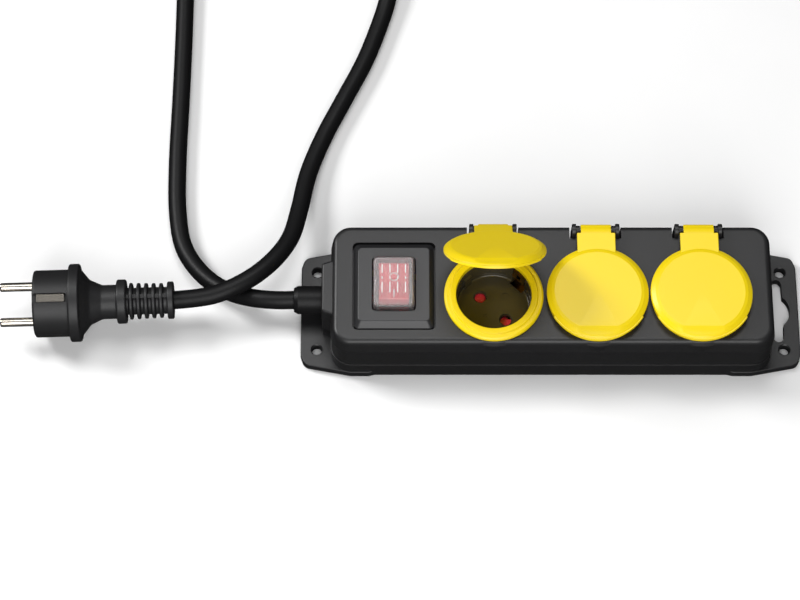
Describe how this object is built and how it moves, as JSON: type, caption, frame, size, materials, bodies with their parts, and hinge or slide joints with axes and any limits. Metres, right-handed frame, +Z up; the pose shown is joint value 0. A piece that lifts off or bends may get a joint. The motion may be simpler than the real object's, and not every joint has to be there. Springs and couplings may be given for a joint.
{
  "type": "extension cord",
  "caption": "Outdoor power strip with hinged lids over its outlets, a lit rocker switch, mounting ears, and a coiled rubber mains cord with a moulded earthed plug.",
  "frame": {"origin": "on the surface that the strip stands on, under the middle of the strip's box, without the cord and its plug", "axes": "+X along the strip to the end with the hanging slot, +Y to the lids' hinges, +Z up"},
  "size_m": [0.4276, 0.3714, 0.0881],
  "materials": {
    "black_plastic": "moulded, satin, near black",
    "dark_plastic": "moulded, matt black",
    "yellow_plastic": "moulded, semi-gloss yellow",
    "well_plastic": "moulded, glossy dark brown",
    "red_plastic": "moulded, glossy red",
    "clear_plastic": "soft clear cover, slightly frosted",
    "black_rubber": "moulded rubber, matt",
    "cord_rubber": "extruded rubber sheath, satin",
    "nickel": "nickel plated brass",
    "brass": "stamped strip",
    "steel": "zinc plated",
    "brown_cover": "wire cover",
    "blue_cover": "wire cover",
    "green_cover": "wire cover, green with a yellow stripe",
    "webbing": "woven hook-and-loop strap"
  },
  "bodies": {
    "strip": {"top_housing": "black_plastic", "base_tray": "black_plastic", "switch_frame": "black_plastic", "cord_clamp": "dark_plastic", "switch_body": "dark_plastic", "outlet_collar_1": "yellow_plastic", "outlet_collar_2": "yellow_plastic", "outlet_collar_3": "yellow_plastic", "socket_insert_1": "well_plastic", "socket_insert_2": "well_plastic", "socket_insert_3": "well_plastic", "switch_cap": "clear_plastic", "switch_lamp": "clear_plastic", "housing_seal": "black_rubber", "cord_sleeve": "black_rubber", "plug_body": "black_rubber", "cord_end": "cord_rubber", "cord_sleeve_lead": "cord_rubber", "cord_plug_lead": "cord_rubber", "cord_coil": "cord_rubber", "plug_pin_1": "nickel", "plug_pin_2": "nickel", "plug_earth_contact": "nickel", "live_busbar": "brass", "neutral_busbar": "brass", "earth_busbar": "brass", "earth_contact_1": "brass", "earth_contact_2": "brass", "earth_contact_3": "brass", "housing_screw_1": "steel", "housing_screw_2": "steel", "housing_screw_3": "steel", "housing_screw_4": "steel", "housing_screw_5": "steel", "housing_screw_6": "steel", "clamp_screw_1": "steel", "clamp_screw_2": "steel", "hinge_pin_1": "steel", "hinge_pin_2": "steel", "hinge_pin_3": "steel", "live_wire": "brown_cover", "neutral_wire": "blue_cover", "earth_wire": "green_cover", "coil_tie": "webbing"},
    "lid_1": {"lid_1": "yellow_plastic", "lid_seal_1": "black_rubber"},
    "lid_2": {"lid_2": "yellow_plastic", "lid_seal_2": "black_rubber"},
    "lid_3": {"lid_3": "yellow_plastic", "lid_seal_3": "black_rubber"},
    "shutter_1": {"shutter_1": "red_plastic"},
    "shutter_2": {"shutter_2": "red_plastic"},
    "shutter_3": {"shutter_3": "red_plastic"},
    "rocker": {"switch_rocker": "red_plastic"}
  },
  "joints": [
    {"name": "lid_1_hinge", "type": "hinge", "parent": "strip", "child": "lid_1", "pos_m": [-0.0311, 0.0305, 0.0405], "axis": [-1, 0, 0], "range_deg": [-44, 66]},
    {"name": "lid_2_hinge", "type": "hinge", "parent": "strip", "child": "lid_2", "pos_m": [0.0235, 0.0305, 0.0405], "axis": [-1, 0, 0], "range_deg": [0, 110]},
    {"name": "lid_3_hinge", "type": "hinge", "parent": "strip", "child": "lid_3", "pos_m": [0.0781, 0.0305, 0.0405], "axis": [-1, 0, 0], "range_deg": [0, 110]},
    {"name": "shutter_1_turn", "type": "hinge", "parent": "strip", "child": "shutter_1", "pos_m": [-0.0311, -0.0076, 0.0206], "axis": [0, 0, -1], "range_deg": [0, 30], "stiffness_Nm_per_rad": 0.01, "springref_deg": -17.19},
    {"name": "shutter_2_turn", "type": "hinge", "parent": "strip", "child": "shutter_2", "pos_m": [0.0235, -0.0076, 0.0206], "axis": [0, 0, -1], "range_deg": [0, 30], "stiffness_Nm_per_rad": 0.01, "springref_deg": -17.19},
    {"name": "shutter_3_turn", "type": "hinge", "parent": "strip", "child": "shutter_3", "pos_m": [0.0781, -0.0076, 0.0206], "axis": [0, 0, -1], "range_deg": [0, 30], "stiffness_Nm_per_rad": 0.01, "springref_deg": -17.19},
    {"name": "rocker_rock", "type": "hinge", "parent": "strip", "child": "rocker", "pos_m": [-0.0837, -0.0012, 0.031], "axis": [1, 0, 0], "range_deg": [0, 22]}
  ]
}
